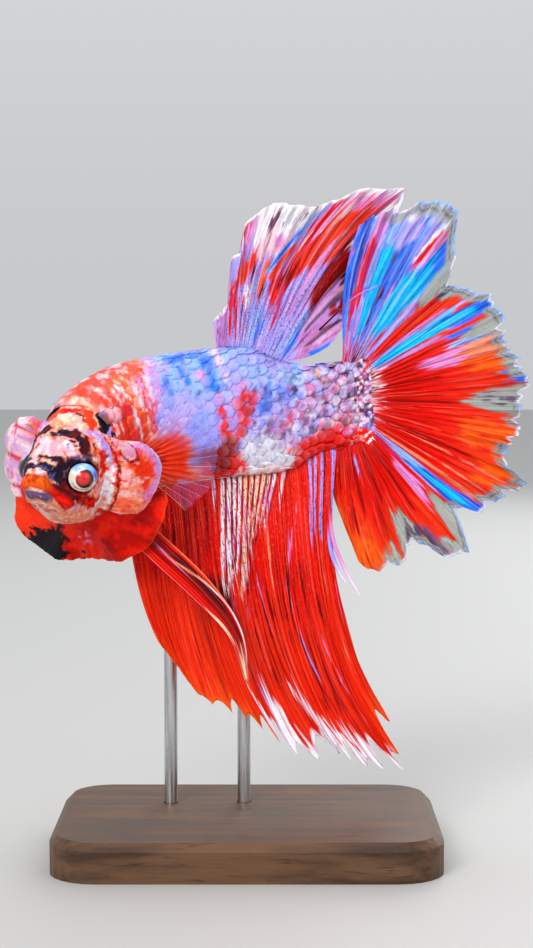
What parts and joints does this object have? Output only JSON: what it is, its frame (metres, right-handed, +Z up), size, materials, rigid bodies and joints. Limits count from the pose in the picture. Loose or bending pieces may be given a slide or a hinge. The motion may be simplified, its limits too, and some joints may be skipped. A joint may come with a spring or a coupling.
{
  "type": "halfmoon betta fish model",
  "caption": "Life-size halfmoon betta fish, flaring with its head turned, all fins spread, held on two thin rods above a flat wooden base",
  "frame": {"origin": "middle of the stand base's underside, on the surface that it rests on", "axes": "+Z up; the fish's body lies along X with its tail towards +X; its left side faces -Y and its head turns towards -Y"},
  "size_m": [0.0566, 0.0287, 0.0702],
  "materials": {
    "head_skin": "wet skin, pale with red and black patches",
    "body_scales": "lavender and blue scales with a pearly gloss",
    "tail_scales": "lavender and red scales with a pearly gloss",
    "gill_red": "thin dark red membrane",
    "fin_red": "thin red fin membrane with raised rays",
    "fin_blue": "thin fin membrane in blue and red rays with a clear margin",
    "fin_pale": "thin pale fin membrane",
    "eye": "wet cornea over a pale iris ring",
    "stand_wood": "satin dark wood",
    "stand_steel": "polished rod"
  },
  "bodies": {
    "root": {"head": "head_skin", "lower_jaw": "head_skin", "trunk_front": "body_scales", "trunk_rear": "body_scales", "tail_stem": "tail_scales", "eye_left": "eye", "eye_right": "eye", "gill_cover_left": "fin_pale", "gill_cover_right": "fin_pale", "beard_left": "gill_red", "beard_right": "gill_red", "fin_dorsal": "fin_pale", "fin_caudal": "fin_blue", "fin_anal": "fin_red", "fin_pectoral_left": "fin_pale", "fin_pectoral_right": "fin_pale", "fin_ventral_left": "fin_red", "fin_ventral_right": "fin_red", "stand_base": "stand_wood", "stand_rod_front": "stand_steel", "stand_rod_rear": "stand_steel"}
  },
  "joints": []
}
